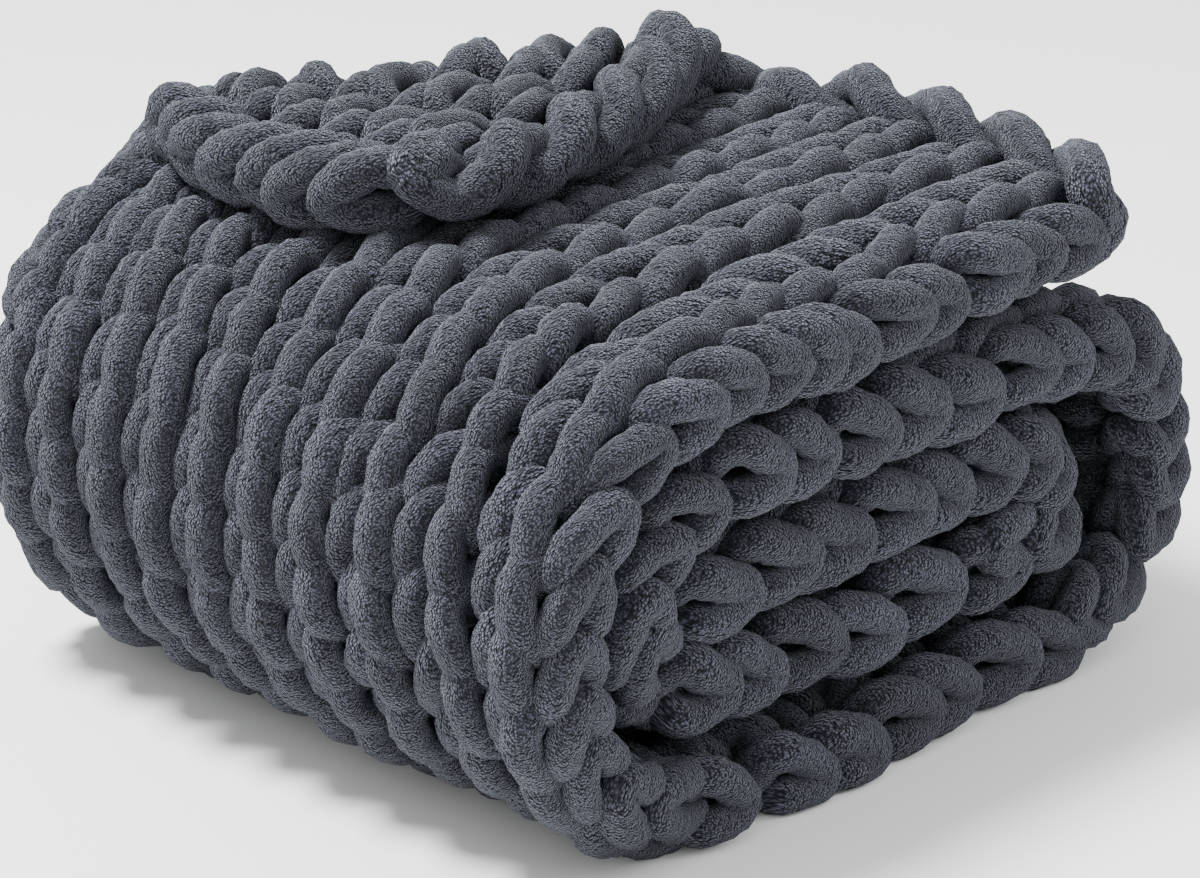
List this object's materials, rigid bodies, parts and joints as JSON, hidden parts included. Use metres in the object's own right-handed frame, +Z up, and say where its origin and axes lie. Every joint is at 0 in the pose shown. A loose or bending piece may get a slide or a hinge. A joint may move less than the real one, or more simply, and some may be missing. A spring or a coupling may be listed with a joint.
{
  "type": "chunky knit blanket",
  "caption": "Thick chunky knit throw blanket folded into a compact bundle, with one corner turned over on top.",
  "frame": {"origin": "on the surface the bundle rests on, below the middle of its bounding box", "axes": "+X across the folds towards the free end of the top lay, +Y along the folds away from the end face seen in front, +Z up"},
  "size_m": [0.5212, 0.454, 0.3123],
  "materials": {
    "chenille_yarn": "matte charcoal blue-grey chenille pile"
  },
  "bodies": {
    "root": {"blanket": "chenille_yarn"}
  },
  "joints": []
}
